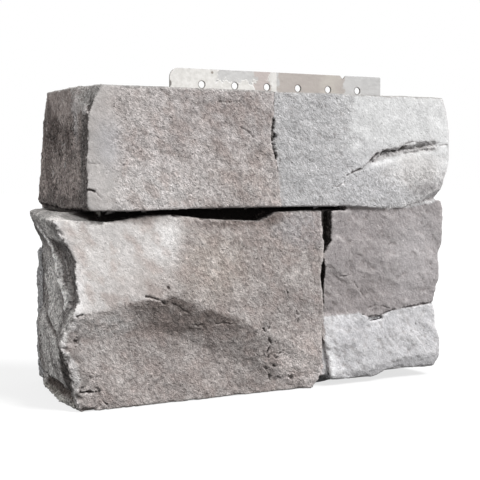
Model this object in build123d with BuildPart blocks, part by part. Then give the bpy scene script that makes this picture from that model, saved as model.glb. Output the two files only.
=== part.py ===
# A corner piece of cast-stone wall cladding with a steel nailing flange.
#
# The body is one casting: an L of plain concrete, the backing, with split-stone shapes standing out of
# its two outer faces, and open joints between them. Two corner stones wrap round both faces, and three
# more sit on the long leg. A bent steel strip is cast into the back of the long leg, and its pierced
# edge stands up behind the stones, to be nailed to the wall.
#
# Frame, in millimetres: X runs along the long leg, Y into the wall, Z up. The origin is the foot of the
# inside corner, where the two wall faces meet at bed level.
#
# Places on the stones are measured from the foot of the outside corner: along a face, then up. A stone
# is proud of its face's general plane, or set back from it, by the third measure.
import os
from math import cos, radians, sin

from build123d import *

# The casting
panel_height = 203.2  # one course
long_leg = 266.7  # outside corner to the far end of the backing
return_leg = 114.3  # outside corner to the rear end of the short leg
panel_thickness = 44.5  # wall side to the general plane of the stones
joint_depth = 14.0  # general plane to the bottom of the joints
joint_gap = 2.5  # the least width of a joint
overlap = 1.5  # where two stones touch, one runs this far into the other
lap_height = 22.0  # rebate that clears the flange and nail heads of the course below
lap_depth = 4.5
heel_height = 96.0  # plain end of the short leg, behind the lower corner stone
heel_setback = 0.5
foot_slope = 5.0  # the foot of the backing rises this steeply behind the small stones, in degrees

# Where the joints run
bed_joint = 123.0  # height of the bottom of the upper stones
upper_head_joint = 131.5  # between the two upper stones
lower_head_joint = 170.0  # right of the large lower stone
small_bed_joint = 50.5  # between the two small stones at the far end

# How far the stones reach
upper_return_reach = 104.0  # rear end of the upper stone on the short leg
lower_return_reach = 98.0
outermost = 22.0  # nothing stands further out of the general planes
end_bulge = 14.0  # the upper right stone reaches this far past the end of the backing

# The nailing flange, a bent strip of galvanised sheet
sheet_gauge = 1.0
flange_length = 171.5
flange_start = 73.5  # from the outside corner
flange_rise = 16.5  # above the top of the casting
flange_corner_radius = 6.5
flange_edge_radius = 1.2
anchor_depth = 30.0  # how deep the strip is cast in
anchor_offset = 9.0  # how far its lower half is bent in from the wall face
anchor_bend_radius = 2.0
joggle_start = 5.0  # the bend starts this far below the top of the casting
nail_hole_diameter = 4.8
nail_hole_pitch = 25.4
nail_hole_count = 6
nail_hole_height = 5.9  # above the top of the casting
first_nail_hole = 23.9  # from the start of the strip
notch_width = 5.0
notch_depth = 2.6

corner = (-panel_thickness, -panel_thickness, 0)
front = Plane(origin=corner, x_dir=(1, 0, 0), z_dir=(0, -1, 0))
side = Plane(origin=corner, x_dir=(0, -1, 0), z_dir=(-1, 0, 0))


def cleavage(face, along, height, proud, lean=0.0, turn=0.0):
    """The plane that a stone splits along. Lean tips its normal upwards, turn tips it to the right."""
    normal = (
        sin(radians(turn)) * cos(radians(lean)),
        sin(radians(lean)),
        cos(radians(turn)) * cos(radians(lean)),
    )
    foot = face.from_local_coords((along, height, proud))
    tip = face.from_local_coords((along + normal[0], height + normal[1], proud + normal[2]))
    return Plane(origin=foot, z_dir=tip - foot)


def spall(face, *planes):
    """What a blow knocks off a stone: the wedge in front of all the given planes."""
    with BuildPart() as wedge:
        with BuildSketch(face.offset(outermost)):
            Rectangle(2 * long_leg + 2 * outermost, 2 * panel_height + 2 * outermost)
        extrude(amount=-outermost - joint_depth)
        for plane in planes:
            split(bisect_by=plane, keep=Keep.TOP)
    return wedge.part


# Backing: the plain L behind the joints, with a rebate along the foot of both wall faces
backing_face = joint_depth - panel_thickness
with BuildPart() as backing:
    with BuildSketch(Plane.XY):
        with BuildLine():
            Polyline(
                (backing_face, backing_face),
                (long_leg - panel_thickness, backing_face),
                (long_leg - panel_thickness, 0),
                (0, 0),
                (0, return_leg - panel_thickness),
                (backing_face, return_leg - panel_thickness),
                close=True,
            )
        make_face()
    extrude(amount=panel_height)
    with BuildSketch(Plane.XY):
        with Locations((-lap_depth, -lap_depth)):
            Rectangle(long_leg, return_leg, align=(Align.MIN, Align.MIN))
    extrude(amount=lap_height, mode=Mode.SUBTRACT)
    # beyond the large stone the foot runs up, out of sight behind the small ones
    split(bisect_by=cleavage(front, lower_head_joint, 0, 0, lean=foot_slope - 90, turn=90), keep=Keep.BOTTOM)

# Heel: the plain end of the short leg behind the lower stone, brought out flush with it
with BuildPart() as heel:
    with BuildSketch(side.offset(-heel_setback)):
        with BuildLine():
            Polyline(
                (-lower_return_reach, 3),
                (-return_leg, 3),
                (-return_leg, heel_height - 14),
                (3 - return_leg, heel_height - 5),
                (-(lower_return_reach + return_leg) / 2, heel_height),
                (-lower_return_reach, heel_height + 1),
                close=True,
            )
        make_face()
    extrude(amount=heel_setback - joint_depth)

# Upper left stone, round the corner in the upper course
upper_middle = (bed_joint + panel_height) / 2
with BuildPart() as upper_corner_stone:
    with BuildSketch(front.offset(outermost)):
        with BuildLine():
            Polyline(
                (-outermost, bed_joint + 3),
                (25, bed_joint + 1.5),
                (70, bed_joint + 2.5),
                (upper_head_joint + 4.5, bed_joint + 2.5),
                (upper_head_joint + 2, bed_joint + 27),
                (upper_head_joint - 1.5, bed_joint + 50),
                (upper_head_joint - 0.5, panel_height),
                (-outermost, panel_height),
                close=True,
            )
        make_face()
    extrude(amount=-outermost - joint_depth)
    with BuildSketch(side.offset(outermost)):
        with BuildLine():
            Polyline(
                (outermost, bed_joint + 2.5),
                (-55, bed_joint + 4.5),
                (-upper_return_reach, bed_joint + 5.5),
                (-upper_return_reach - 4, bed_joint + 9),
                (-upper_return_reach, bed_joint + 30),
                (3 - upper_return_reach, panel_height - 22),
                (18 - upper_return_reach, panel_height),
                (outermost, panel_height),
                close=True,
            )
        make_face()
    extrude(amount=-outermost - joint_depth)
    split(bisect_by=cleavage(front, 60, upper_middle, 1.5, lean=1.5, turn=-1.0), keep=Keep.BOTTOM)
    split(bisect_by=cleavage(front, 104, upper_middle, 1.5, lean=0.5, turn=2.5), keep=Keep.BOTTOM)
    split(bisect_by=cleavage(side, -45, upper_middle, 0.5, lean=0.5, turn=0.5), keep=Keep.BOTTOM)
    split(bisect_by=cleavage(side, -90, upper_middle, 0.5, lean=2, turn=-6), keep=Keep.BOTTOM)
    split(bisect_by=cleavage(side, 0, panel_height - 21, 0.5, lean=27, turn=16), keep=Keep.BOTTOM)
    # the foot of the short side is broken away a little, more towards the rear
    split(bisect_by=cleavage(side, -50, bed_joint + 6, 0.5, lean=-48, turn=-2), keep=Keep.BOTTOM)

# Upper right stone, rounded at its free end
stone_end = long_leg + end_bulge
with BuildPart() as upper_right_stone:
    with BuildSketch(front.offset(outermost)):
        with BuildLine():
            Polyline(
                (upper_head_joint + 4.5 - overlap, bed_joint + 2.5),
                (lower_head_joint + 18, bed_joint + 2.5),
                (long_leg - 50, bed_joint + 0.5),
                (long_leg - 25, bed_joint + 1),
                (long_leg - 1.5, bed_joint + 4.5),
                (long_leg + 0.5, bed_joint + 8),
                (long_leg + 5, bed_joint + 18),
                (stone_end - 2, bed_joint + 32),
                (stone_end, panel_height - 25),
                (stone_end - 4, panel_height - 7),
                (stone_end - 8, panel_height),
                (upper_head_joint - 0.5 - overlap, panel_height),
                (upper_head_joint - 0.5 - overlap, panel_height - 17),
                (upper_head_joint - 1.5 + joint_gap, upper_middle + 8),
                (upper_head_joint + 3 - overlap, bed_joint + 22),
                close=True,
            )
        make_face()
    extrude(amount=-outermost - joint_depth)
    split(bisect_by=cleavage(front, 155, upper_middle, -0.5, lean=1, turn=-3), keep=Keep.BOTTOM)
    split(bisect_by=cleavage(front, 215, upper_middle, 1.5, lean=0.5, turn=1), keep=Keep.BOTTOM)
    split(bisect_by=cleavage(front, 262, upper_middle, 0.5, lean=3, turn=14), keep=Keep.BOTTOM)
    # its lower corner at the free end is worn away
    split(bisect_by=cleavage(front, long_leg - 5, bed_joint + 12, 1.0, lean=-40, turn=20), keep=Keep.BOTTOM)
    # the cleft, deepest at its upper edge, that runs out at the free end
    cleft_roof = cleavage(front, 240, bed_joint + 44.5, 0, lean=-78, turn=41)
    cleft_start = cleavage(front, 208, bed_joint + 34, 0, lean=-53, turn=69)
    cleft_floor = cleavage(front, 236, bed_joint + 36, 0.8, lean=24, turn=-4)
    add(spall(front, cleft_roof, cleft_start, cleft_floor), mode=Mode.SUBTRACT)

# Lower left stone, the large one, round the corner in the lower course
with BuildPart() as lower_corner_stone:
    with BuildSketch(front.offset(outermost)):
        with BuildLine():
            Polyline(
                (-outermost, 0),
                (lower_head_joint - 9, 0),
                (lower_head_joint - 4, 7),
                (lower_head_joint - 4, 40),
                (lower_head_joint - 1.5, 52),
                (lower_head_joint - 3.5, 78),
                (lower_head_joint - 0.5, 98),
                (lower_head_joint - 1.5, bed_joint + 0.5),
                (upper_head_joint, bed_joint - 0.5),
                (upper_head_joint - 12, bed_joint - 6),
                (80, bed_joint - 4),
                (55, bed_joint - 0.5),
                (38, bed_joint - 1),
                (14, bed_joint - 5),
                (0, bed_joint - 4),
                (-outermost, bed_joint - 2),
                close=True,
            )
        make_face()
    extrude(amount=-outermost - joint_depth)
    with BuildSketch(side.offset(outermost)):
        with BuildLine():
            Polyline(
                (outermost, 0),
                (-lower_return_reach, 0),
                (-lower_return_reach, bed_joint - 30),
                (-lower_return_reach - 6, bed_joint + 1),
                (-30, bed_joint + 1),
                (-joint_depth, bed_joint - 5),
                (outermost, bed_joint - 5),
                close=True,
            )
        make_face()
    extrude(amount=-outermost - joint_depth)
    # the upper facets of the front, which meet in a worn crest
    split(bisect_by=cleavage(front, 50, 69, 6.5, lean=8, turn=-4), keep=Keep.BOTTOM)
    split(bisect_by=cleavage(front, 60, 69, 6.5, lean=4, turn=2.5), keep=Keep.BOTTOM)
    # its top edge is worn down beside the corner
    split(bisect_by=cleavage(front, 12, bed_joint - 7.5, 3.5, lean=50, turn=-9), keep=Keep.BOTTOM)
    # the hollow below the arched ridge
    ridge_left = cleavage(front, 22, 66, 4.8, lean=-18, turn=0.5)
    ridge_right = cleavage(front, 82, 60, 6.0, lean=-16, turn=-7)
    hollow_floor = cleavage(front, 50, 30, -2.0, lean=-1.5, turn=0)
    add(spall(front, ridge_left, ridge_right, hollow_floor), mode=Mode.SUBTRACT)
    # the short side: shouldered and flared at the top, waisted, and bulging again near the foot
    split(bisect_by=cleavage(side, 0, bed_joint - 4, 21.5, lean=68, turn=-3), keep=Keep.BOTTOM)
    split(bisect_by=cleavage(side, 0, bed_joint - 4, 21.5, lean=-3, turn=-5), keep=Keep.BOTTOM)
    split(bisect_by=cleavage(side, -lower_return_reach, 0, 0.5, lean=-4, turn=-9.5), keep=Keep.BOTTOM)
    split(bisect_by=cleavage(side, 0, 35, 14.5, lean=-15, turn=4), keep=Keep.BOTTOM)
    flare_underside = cleavage(side, 0, 105, 15, lean=-25, turn=-7.5)
    waist = cleavage(side, 0, 80, 9, lean=-3, turn=-5.5)
    bulge_top = cleavage(side, 0, 59, 12.5, lean=20, turn=-7.5)
    add(spall(side, flare_underside, waist, bulge_top), mode=Mode.SUBTRACT)
    # a narrow scar down the waist, from the flare to the corner
    scar_rib = cleavage(side, -31, 88, 6, lean=23, turn=50)
    scar_floor = cleavage(side, 0, 80, 9, lean=-9, turn=-10)
    add(spall(side, flare_underside, bulge_top, scar_rib, scar_floor), mode=Mode.SUBTRACT)
    # a pocket broken out of the foot
    pocket_roof = cleavage(side, -55, 15, 9, lean=-62, turn=-3)
    pocket_floor = cleavage(side, -55, 8, 4.5, lean=12, turn=-6)
    add(spall(side, pocket_roof, pocket_floor), mode=Mode.SUBTRACT)

# Middle right stone
middle_top = bed_joint - 0.5
small_middle = (lower_head_joint + long_leg) / 2
with BuildPart() as middle_right_stone:
    with BuildSketch(front.offset(outermost)):
        with BuildLine():
            Polyline(
                (lower_head_joint + 1, small_bed_joint - 2),
                (small_middle - 18, small_bed_joint - 1),
                (small_middle - 9, small_bed_joint - 4.5),
                (small_middle, small_bed_joint - 4),
                (small_middle + 9, small_bed_joint - 1),
                (long_leg - 1, small_bed_joint + 3),
                (long_leg + 3.5, small_bed_joint + 20),
                (long_leg + 3.5, 90),
                (long_leg + 6.5, 97),
                (long_leg + 6.5, bed_joint),
                (long_leg + 4, bed_joint + 5.5),
                (long_leg - 1.5, bed_joint + 4.5 + overlap),
                (long_leg - 25, bed_joint + 1 + overlap),
                (long_leg - 50, bed_joint + 0.5 + overlap),
                (lower_head_joint + 18, bed_joint + 2.5 + overlap),
                (lower_head_joint + 18, middle_top),
                (lower_head_joint + 6, middle_top),
                (lower_head_joint + 6, 101),
                (lower_head_joint + 0.5, 94),
                close=True,
            )
        make_face()
    extrude(amount=-outermost - joint_depth)
    split(bisect_by=cleavage(front, 215, 85, -1, lean=-2, turn=-1), keep=Keep.BOTTOM)
    split(bisect_by=cleavage(front, 250, 85, -1.5, lean=-1.5, turn=4), keep=Keep.BOTTOM)

# Lower right stone
with BuildPart() as lower_right_stone:
    with BuildSketch(front.offset(outermost)):
        with BuildLine():
            Polyline(
                (lower_head_joint + 6, 4),
                (lower_head_joint + 42, 3.5),
                (lower_head_joint + 52, 7),
                (long_leg - 1, 6.5),
                (long_leg + 3.5, 14),
                (long_leg + 3.5, 27),
                (long_leg, 36),
                (long_leg - 1, small_bed_joint + 1.5),
                (small_middle + 22, small_bed_joint + overlap),
                (small_middle + 10.5, small_bed_joint - 1 + overlap),
                (small_middle, small_bed_joint - 4 - joint_gap),
                (small_middle - 9, small_bed_joint - 4.5 - joint_gap),
                (small_middle - 17, small_bed_joint - 1 + overlap),
                (lower_head_joint - 2 - overlap, small_bed_joint - 2 + overlap),
                (lower_head_joint - 3 - overlap, 40),
                (lower_head_joint + 2, 30),
                close=True,
            )
        make_face()
    extrude(amount=-outermost - joint_depth)
    split(bisect_by=cleavage(front, 215, 30, -0.5, lean=4, turn=0), keep=Keep.BOTTOM)
    split(bisect_by=cleavage(front, 215, 12, 0.5, lean=-14, turn=2), keep=Keep.BOTTOM)

# Nailing flange: the upright half lies in the plane of the wall face, the cast-in half is bent inwards
strip_left = flange_start - panel_thickness
with BuildPart() as flange:
    with BuildSketch(Plane.YZ.offset(strip_left)):
        with BuildLine():
            FilletPolyline(
                (0, panel_height + flange_rise),
                (0, panel_height - joggle_start),
                (-anchor_offset, panel_height - joggle_start - anchor_offset),
                (-anchor_offset, panel_height - anchor_depth),
                radius=anchor_bend_radius,
            )
            offset(amount=sheet_gauge, side=Side.RIGHT)
        make_face()
    extrude(amount=flange_length)
    top_edges = flange.edges().filter_by(Axis.Y).group_by(Axis.Z)[-1].sort_by(Axis.X)
    fillet(top_edges[0], radius=flange_corner_radius)
    top_edges = flange.edges().filter_by(Axis.Y).group_by(Axis.Z)[-1].sort_by(Axis.X)
    fillet(top_edges[-1], radius=flange_edge_radius)
    nail_row = [
        (strip_left + first_nail_hole + i * nail_hole_pitch, panel_height + nail_hole_height)
        for i in range(nail_hole_count)
    ]
    with BuildSketch(Plane.XZ):
        with Locations(*nail_row):
            Circle(nail_hole_diameter / 2)
    extrude(amount=sheet_gauge, mode=Mode.SUBTRACT)
    notch_centre = nail_row[-1][0] - nail_hole_pitch / 2
    with BuildSketch(Plane.XZ):
        with Locations((notch_centre, panel_height + flange_rise)):
            Polygon(
                (-notch_width / 2, 0),
                (0, -notch_depth),
                (notch_width / 2, 0),
                align=None,
            )
    extrude(amount=sheet_gauge, mode=Mode.SUBTRACT)

# The casting: backing and stones in one, with the flange's lower half cast in
with BuildPart() as panel:
    add(backing.part)
    add(heel.part)
    add(upper_corner_stone.part)
    add(upper_right_stone.part)
    add(lower_corner_stone.part)
    add(middle_right_stone.part)
    add(lower_right_stone.part)
    add(flange.part, mode=Mode.SUBTRACT)

panel.part.label = "stone_panel"
flange.part.label = "nailing_flange"

os.makedirs("parts", exist_ok=True)
export_step(panel.part, "parts/stone_panel.step")
export_step(flange.part, "parts/nailing_flange.step")
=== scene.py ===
# A corner piece of cast-stone wall cladding: a concrete casting with split-stone faces, and the steel
# nailing flange cast into its back. Metres throughout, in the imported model's frame: X along the long
# leg, Y into the wall, Z up. Places on the stones are in millimetres from the outside corner: along the
# front or back along the short side, then up.
import random

import bmesh
import bpy
import numpy as np
from mathutils import Matrix, Vector, noise


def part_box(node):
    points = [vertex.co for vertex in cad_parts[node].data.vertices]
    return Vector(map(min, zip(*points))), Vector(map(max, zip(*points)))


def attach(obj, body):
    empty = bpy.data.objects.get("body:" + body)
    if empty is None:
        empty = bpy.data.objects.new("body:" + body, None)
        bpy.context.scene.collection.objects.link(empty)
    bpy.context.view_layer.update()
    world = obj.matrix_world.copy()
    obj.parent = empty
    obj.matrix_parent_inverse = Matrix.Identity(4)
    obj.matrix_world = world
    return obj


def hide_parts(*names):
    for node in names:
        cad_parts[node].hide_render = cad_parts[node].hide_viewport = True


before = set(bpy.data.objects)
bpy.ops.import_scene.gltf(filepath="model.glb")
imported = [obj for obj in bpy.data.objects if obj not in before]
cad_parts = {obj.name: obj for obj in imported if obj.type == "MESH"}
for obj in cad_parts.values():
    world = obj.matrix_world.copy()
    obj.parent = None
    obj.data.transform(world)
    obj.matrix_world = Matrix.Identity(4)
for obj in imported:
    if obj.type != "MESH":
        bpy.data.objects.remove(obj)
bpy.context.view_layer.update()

# The casting
# One pour of light-aggregate concrete in a rubber mould taken from split stone: an L of plain backing
# with five stones on its outer faces, dusted with pigment in the mould. The mould keeps the stones'
# broken grain, cracks and chipped edges, and the back is the open side, struck off flat.
MM = 0.001
PANEL_THICKNESS = 44.5
JOINT_FLOOR = 14.0
LOWER_HEAD_JOINT = 170.0
# the lines where stones meet: along the front, then up
BED_LINE = ((0, 187, 188, 217, 242, 265, 268), (124.0, 124.0, 125.5, 123.5, 124.0, 127.5, 131.5))
SMALL_BED_LINE = ((171, 200, 209, 218, 227, 266), (48.8, 49.8, 46.0, 46.4, 49.8, 53.6))
UPPER_HEAD_LINE = ((136.4, 133.9, 130.4, 131.4), (125.5, 150, 173, 203))
RIDGE_LINE = ((-12, 20, 36, 45, 52, 58, 75, 95, 114), (60.5, 66.5, 69.5, 68, 72, 67.5, 62, 56, 49))
# the lower end of the dark ground under the ridge, darker pigment with painted shade
SHADE_FOOT = ((20, 49, 75, 103, 112), (50, 42.5, 46.5, 50.5, 53))
# where the painted shadow of the stone above starts on the large stone's ledge: along, then back
FOOT_SHADOW_LINE = ((-8, -4, -2, 1.5, 5, 7.3, 12, 20), (60, 32, 25.5, 22.3, 19, 15.5, 9, 1))
# the rib down the short side of the large stone: back along it, then up
RIB_LINE = ((18, 64), (31.6, 74), (42.9, 82.7), (47.3, 88.9), (56, 94.7), (60, 102), (76, 112))
CREASE_LINE = ((92, 57), (71, 51), (40, 47.5), (13, 44), (7, 38))
# the painted shade down the front edge of that side
EDGE_SHADE_LINE = ((4, 38), (8, 28), (12, 14))
POCKET = (48, 7)
POCKET_REACH = (36, 5.5)
UPPER_SLOT = ((130.6, 184), (129.9, 178), (129.7, 173), (130.6, 166), (132.0, 159))
CLEFT_LINE = ((207, 235, 262), (159, 165.5, 167.5))
# the outer corner of the large stone: up it, then along the front
ARRIS_LINE = ((5, 12, 18, 23, 30, 36, 41, 50, 53, 60, 68, 77, 86, 98, 105, 113, 119),
              (-9, -11.6, -8.7, -10, -12.6, -16, -17.6, -17.5, -15, -14, -11, -10, -10, -13, -16, -20.5, -23))
# the flat at the top of the upper stone's outer corner: up it, then along the front
TOP_FACET_LINE = ((183, 195, 203), (-1, 5, 11))
# the ways that the stones split, and how far the strokes of the grain are drawn out
GRAIN_WAY = (0.66, -0.4, -0.71)
LOWER_SIDE_GRAIN_WAY = (0.0, 0.78, 0.63)
UPPER_SIDE_GRAIN_WAY = (0.0, 0.25, 0.97)
STROKE_STRETCH = 2.0
# what stands out of the stones or is sunk into them
RIB_HEIGHT = 2.0
RUBBLE_HEIGHT = 1.5
SCOOP_DEPTH = 2.0
POCKET_DEPTH = 2.5
CREASE_DEPTH = 1.6
UPPER_SLOT_DEPTH = 4.5
# points this near a joint's floor lie on it
FLOOR_REACH = 1.2
# how far the joints' floors are moved out, and how much lower the upper stone's foot hangs at the rear
REAR_JOINT_FILL = 9.5
LOW_JOINT_FILL = 10.5
SMALL_BED_FILL = 9.0
FOOT_HANG = 2.6
# the skin's mesh
SKIN_MESH = 0.95
CRACK_MESH_REACH = 2.2
MOST_TRIANGLES = 196000
# the block that closes the flange's slot
BLOCK_MARGIN = 2.0
BLOCK_BACK_GAP = 1.2
BLOCK_TOP_GAP = 3.5
BUBBLES = 220
chance = random.Random(7)

casting_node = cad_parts["stone_panel"]
casting_low, casting_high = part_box("stone_panel")


def as_object(name, mesh):
    """The mesh as an object in the scene."""
    made = bpy.data.objects.new(name, mesh)
    bpy.context.scene.collection.objects.link(made)
    return made


def evaluated_mesh(made):
    """The object's mesh with its modifiers applied; the object and its old mesh are thrown away."""
    graph = bpy.context.evaluated_depsgraph_get()
    mesh = bpy.data.meshes.new_from_object(made.evaluated_get(graph))
    old = made.data
    bpy.data.objects.remove(made)
    bpy.data.meshes.remove(old)
    return mesh


def remeshed_casting():
    """The casting's form as an even skin of small quads, with the slot that the flange fills closed."""
    shape = bmesh.new()
    shape.from_mesh(casting_node.data)
    bmesh.ops.remove_doubles(shape, verts=shape.verts, dist=0.000001)
    flange_low, flange_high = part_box("nailing_flange")
    margin = BLOCK_MARGIN * MM
    block_low = flange_low - Vector((margin, margin, margin))
    block_high = Vector((flange_high.x + margin, flange_high.y - BLOCK_BACK_GAP * MM,
                         casting_high.z - BLOCK_TOP_GAP * MM))
    centre = (block_low + block_high) / 2
    block_size = Matrix.Diagonal((*(block_high - block_low), 1.0))
    bmesh.ops.create_cube(shape, size=1.0, matrix=Matrix.Translation(centre) @ block_size)
    mesh = bpy.data.meshes.new("casting_form")
    shape.to_mesh(mesh)
    shape.free()
    form = as_object("casting_form", mesh)
    remesh = form.modifiers.new("even_skin", "REMESH")
    remesh.mode = "VOXEL"
    remesh.voxel_size = SKIN_MESH * MM
    return evaluated_mesh(form)


def read(items, name, width, kind=np.float32):
    """One value of every item of a mesh, a row for each item."""
    flat = np.empty(len(items) * width, kind)
    items.foreach_get(name, flat)
    return flat.reshape(-1, width)


def step(value, low, high):
    """0 below low, 1 above high and a smooth rise between."""
    share = np.clip((value - low) / (high - low), 0, 1)
    return share * share * (3 - 2 * share)


def fade(value, low, high):
    """1 below low, 0 above high and a smooth fall between."""
    return step(-value, -high, -low)


def grained(points, size, octaves=4, way=None, stretch=1.0, roughness=0.9, shift=0.0):
    """Fractal noise with grains of a size in millimetres, drawn out along a way."""
    where = points / MM
    if way is not None:
        line = np.array(Vector(way).normalized())
        where = where - np.outer(where @ line, line) * (1 - 1 / stretch)
    return np.array([noise.fractal(p, roughness, 2.0, octaves) for p in (where / size + shift).tolist()])


class Places:
    """Where the skin's points lie on the casting, in millimetres, and which stone each belongs to."""

    def __init__(self, points, normals):
        self.along = points[:, 0] / MM + PANEL_THICKNESS
        self.back = points[:, 1] / MM + PANEL_THICKNESS
        self.up = points[:, 2] / MM
        self.faces_front = step(-normals[:, 1], 0.15, 0.55)
        self.faces_side = step(-normals[:, 0], 0.25, 0.6) * (self.faces_front < 1)
        self.faces_level = step(np.abs(normals[:, 2]), 0.6, 0.85)
        self.in_joint = (self.back > JOINT_FLOOR - 0.6) & (self.along > JOINT_FLOOR - 0.6)
        upper = self.up > np.interp(self.along, *BED_LINE)
        self.upper_left = upper & (self.along < np.interp(self.up, *reversed(UPPER_HEAD_LINE)))
        self.upper_right = upper & ~self.upper_left
        self.lower_left = ~upper & (self.along < LOWER_HEAD_JOINT + 1)
        above_small_bed = self.up > np.interp(self.along, *SMALL_BED_LINE)
        self.middle_right = ~upper & ~self.lower_left & above_small_bed
        self.lower_right = ~upper & ~self.lower_left & ~above_small_bed
        self.heel = self.lower_left & (self.back > 98.5)
        # lines on the stones wander a little, and cracks open and close along their length
        wander = [grained(points, 3.5, octaves=3, shift=s) for s in (11.3, 47.9, 86.1)]
        self.drift_along = self.along + 0.55 * wander[0]
        self.drift_back = self.back + 0.55 * wander[0]
        self.drift_up = self.up + 0.55 * wander[1]
        self.opening = np.clip(0.75 + 1.3 * wander[2], 0.05, 1.5)
        self.blotch = grained(points, 14, octaves=4, shift=71.3)
        # the smooth and chalky parts of the fronts
        self.above_ridge = self.up - np.interp(self.along, *RIDGE_LINE) + 1.2 * self.blotch
        across_crest = self.along - 52 - 0.3 * (self.up - 95) + 8 * self.blotch
        self.light_facet = self.lower_left * fade(across_crest, -14, 22) * step(self.above_ridge, -1, 1)
        self.chalky_end = self.upper_right * step(self.along + 14 * self.blotch, 176, 200)
        self.chalky_end *= step(self.up, 138, 158)
        self.smooth_edge = self.upper_left * fade(self.along + 7 * self.blotch, 10, 26)
        smooth = np.maximum.reduce([
            0.8 * self.light_facet, 0.9 * self.chalky_end, self.smooth_edge,
            0.3 * self.upper_right, 0.75 * self.middle_right, 0.75 * self.lower_right])
        self.coarse = 1 - 0.65 * smooth * self.faces_front
        # the broken ground in the cleft of the upper right stone
        cleft = self.up - np.interp(self.along, *CLEFT_LINE) + 1.5 * self.blotch
        self.rubble = fade(np.abs(cleft), 1.5, 4.5) * step(self.along, 204, 209)
        self.rubble *= fade(self.along, 258, 272)
        # the scoop between the rib and the outer corner of the large stone
        rib_back, rib_up = zip(*RIB_LINE)
        self.scoop = step(np.interp(self.up, rib_up, rib_back) - self.back + 3 * self.blotch, 2, 8)
        self.scoop *= step(self.up, 61, 68) * fade(self.up, 102, 107)


def riven_grain(points, places):
    """The streaks down the short side, which lean on the lower stone and stand nearly upright above."""
    shared = {"octaves": 5, "roughness": 0.85, "shift": 63.1}
    leaning = grained(points, 15, way=LOWER_SIDE_GRAIN_WAY, stretch=3.2, **shared)
    upright = grained(points, 13, way=UPPER_SIDE_GRAIN_WAY, stretch=2.6, **shared)
    return np.where(places.lower_left, leaning, upright)


def from_path(places, path, on_side=False):
    """How far each point lies from a line through places along (or back) and up a face."""
    across = places.drift_back if on_side else places.drift_along
    nearest = np.full(len(across), 1e6)
    for (u0, v0), (u1, v1) in zip(path[:-1], path[1:]):
        run = np.array((u1 - u0, v1 - v0))
        share = np.clip(((across - u0) * run[0] + (places.drift_up - v0) * run[1]) / (run @ run), 0, 1)
        away = np.hypot(across - u0 - share * run[0], places.drift_up - v0 - share * run[1])
        nearest = np.minimum(nearest, away)
    return nearest


# cracks and pits that the mould took from the stones: half width, depth, and the line each follows
CRACKS = [
    (0.8, 1.6, [(-1, 138.2), (4, 137.6)]),
    (0.4, 0.4, [(5, 136.5), (8, 133)]),
    (0.4, 0.4, [(0, 154.5), (9, 154)]),
    (0.5, 0.5, [(88, 195), (97, 194.3), (104, 195.5)]),
    (0.6, 0.6, [(104, 178.5), (109, 176.5), (114, 172)]),
    (0.9, 1.2, [(187.5, 146.8), (193, 149.5), (198, 151.2)]),
    (0.5, 0.6, [(198, 151.2), (207, 157.6)]),
    (1.2, 1.1, [(206, 157.2), (210, 160.5), (215, 163), (225, 164), (233, 165), (237, 167.2)]),
    (0.7, 0.6, [(236, 169), (242, 170.8), (247, 169.8), (254, 171), (262, 168.6)]),
    (0.5, 0.5, [(262, 168.4), (269, 168.2), (277, 169.2)]),
    (0.6, 0.5, [(236, 162.6), (243, 163.4), (250, 165), (262, 165.6)]),
    (0.6, 0.5, [(176, 139.6), (180, 139.4), (183, 141)]),
    (0.9, 1.2, [(36, 71.2), (40, 70.4), (44, 68.6), (48.5, 65.6)]),
    (0.8, 0.9, [(50.5, 76.4), (52.6, 74.2)]),
    (0.6, 0.4, [(54, 66), (60, 62.5), (66, 58.5)]),
    (0.6, 0.5, [(68, 51), (73, 49.8), (77, 50.4)]),
    (0.6, 0.6, [(84, 50.4), (92, 50.8), (100, 49.8)]),
    (0.9, 1.4, [(-9, 60.6), (-4.5, 62.2)]),
    (1.6, 1.6, [(-8.4, 45.4), (-7.4, 45.2)]),
    (1.1, 2.2, [(-5, 12.9), (4.5, 12.3)]),
    (0.5, 0.6, [(0.5, 22.4), (3, 21.8)]),
    (0.6, 0.9, [(9.6, 5.6), (12.4, 3.6), (13.6, 1)]),
    (0.9, 1.4, [(119.2, 45.4), (120.8, 43.4)]),
    (0.9, 1.4, [(125, 47), (123.6, 44.8)]),
    (0.9, 1.3, [(124, 38), (126.2, 34.6)]),
    (0.9, 1.4, [(125.2, 31), (124.8, 28.4)]),
    (0.9, 1.4, [(125.6, 26.4), (125.8, 24.2)]),
    (0.8, 1.4, [(129.6, 23.2), (132.4, 24.2)]),
    (0.8, 1.1, [(133, 26.2), (133.8, 27)]),
    (1.0, 1.4, [(130.4, 18.6), (131.6, 17.6)]),
    (0.9, 1.1, [(124.2, 17.2), (125, 16.2)]),
    (0.9, 1.3, [(128, 11.8), (128.6, 8.6)]),
    (0.9, 1.2, [(134.6, 9.8), (136.2, 9)]),
    (1.2, 1.9, [(143, 9.8), (144.8, 8.6)]),
    (0.8, 1.1, [(146.4, 55.4), (147, 53)]),
    (0.8, 1.0, [(138.4, 69.4), (139.2, 67.8)]),
    (0.5, 0.6, [(183, 76.5), (192, 77.4)]),
    (0.6, 0.4, [(207, 52.5), (214, 54.5), (221, 53.5), (226, 51.5)]),
    (0.6, 0.4, [(196, 72), (202, 64), (206, 60)]),
    (0.6, 1.0, [(203, 48.8), (209, 46.6), (218, 46.8), (226, 49.6), (231, 50.4)]),
    (0.7, 1.2, [(238, 51.2), (252, 52.4), (262, 53.4), (267, 53.6)]),
    (0.6, 0.9, [(131.4, 203), (130.9, 194), (130.6, 184)]),
    (0.6, 1.2, [(132.2, 160), (133.4, 150)]),
]
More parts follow.
